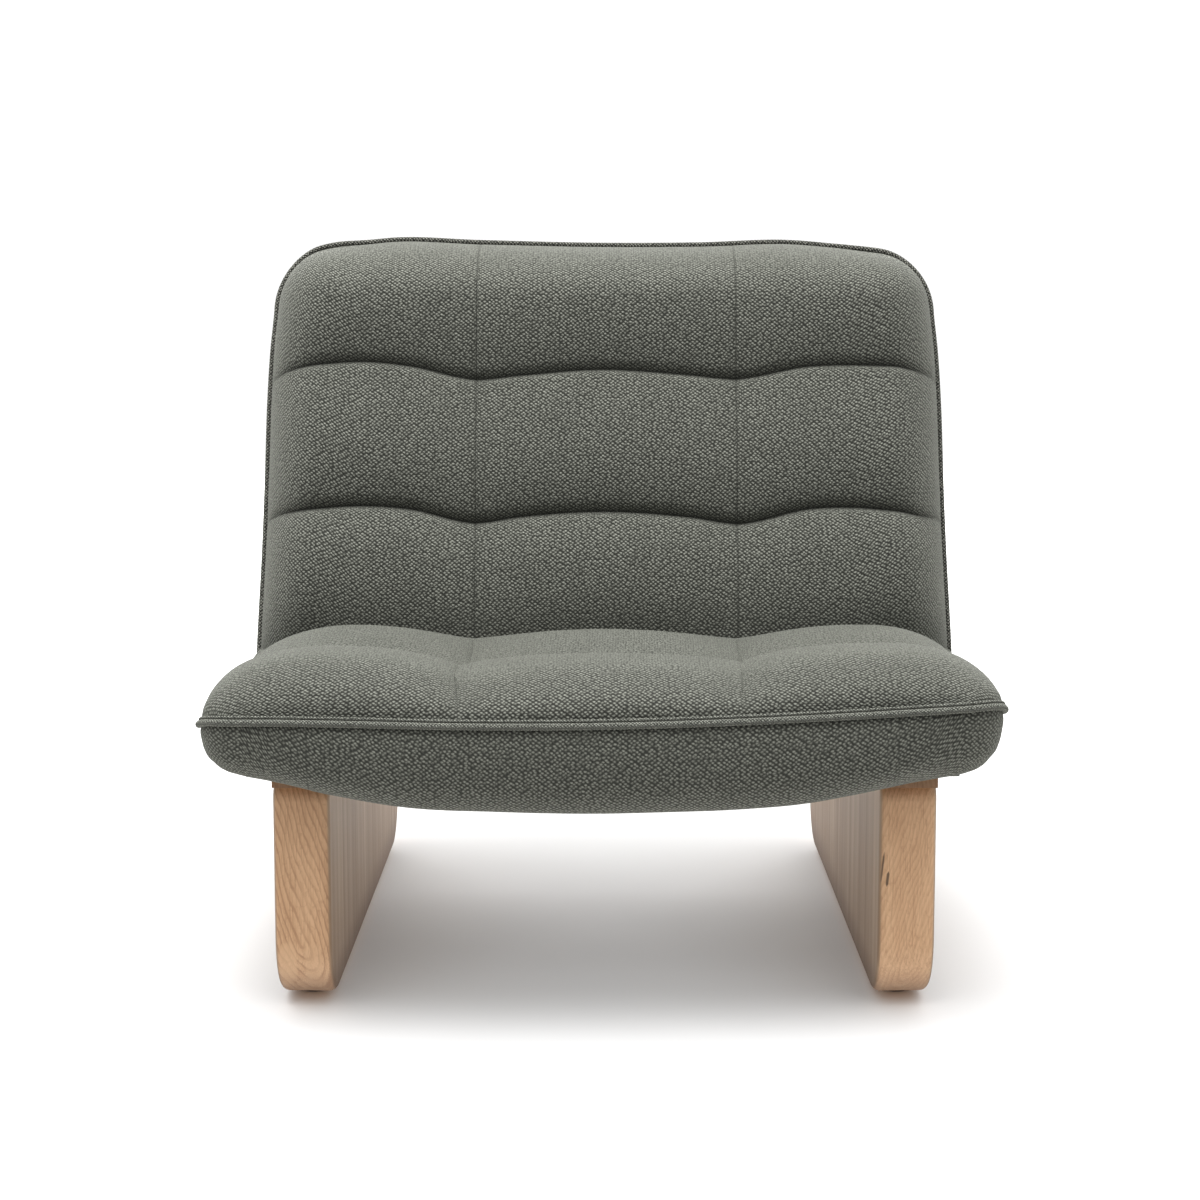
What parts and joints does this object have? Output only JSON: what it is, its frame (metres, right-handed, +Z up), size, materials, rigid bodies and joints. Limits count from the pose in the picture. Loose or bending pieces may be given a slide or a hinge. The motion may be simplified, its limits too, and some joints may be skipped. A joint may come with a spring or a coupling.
{
  "type": "upholstered accent chair",
  "caption": "Low armless lounge chair: tufted seat and leaning back with piped edges, padded band below, on two thick rounded timber side panels.",
  "frame": {"origin": "on the floor, centre of the overall bounding box in plan", "axes": "+Z up, -Y towards the front of the seat, +X to the right as seen from the front"},
  "size_m": [0.834, 0.8506, 0.7605],
  "materials": {
    "oak_panel": "clear matt oiled oak, vertical grain, eased edges",
    "frame_hardwood": "sawn and planed, unfinished",
    "steel_fastener": "zinc plated",
    "black_glide": "moulded nylon",
    "webbing": "elastic woven strap",
    "foam": "open cell polyurethane foam",
    "upholstery": "coarse heathered grey-green weave, tufted and piped in the same cloth",
    "dust_cloth": "non-woven black cloth",
    "tuft_twine": "waxed twine with backing discs"
  },
  "bodies": {
    "root": {"leg_slab_left": "oak_panel", "leg_slab_right": "oak_panel", "seat_front_rail": "frame_hardwood", "seat_rear_rail": "frame_hardwood", "seat_side_rail_left": "frame_hardwood", "seat_side_rail_right": "frame_hardwood", "seat_bearer_left": "frame_hardwood", "seat_bearer_right": "frame_hardwood", "corner_blocks": "frame_hardwood", "back_post_left": "frame_hardwood", "back_post_right": "frame_hardwood", "back_lower_rail": "frame_hardwood", "back_middle_rail": "frame_hardwood", "back_top_rail": "frame_hardwood", "glide_screws": "steel_fastener", "leg_bolts": "steel_fastener", "leg_washers": "steel_fastener", "leg_inserts": "steel_fastener", "front_rail_screws": "steel_fastener", "post_screws": "steel_fastener", "glide_front_left": "black_glide", "glide_front_right": "black_glide", "glide_rear_left": "black_glide", "glide_rear_right": "black_glide", "seat_webbing_long": "webbing", "seat_webbing_cross": "webbing", "back_webbing": "webbing", "seat_foam": "foam", "back_foam": "foam", "seat_pad": "upholstery", "back_pad": "upholstery", "rear_cover": "upholstery", "seat_band_front": "upholstery", "seat_band_left": "upholstery", "seat_band_right": "upholstery", "seat_welt": "upholstery", "back_welt": "upholstery", "dust_cover": "dust_cloth", "tuft_ties": "tuft_twine"}
  },
  "joints": []
}
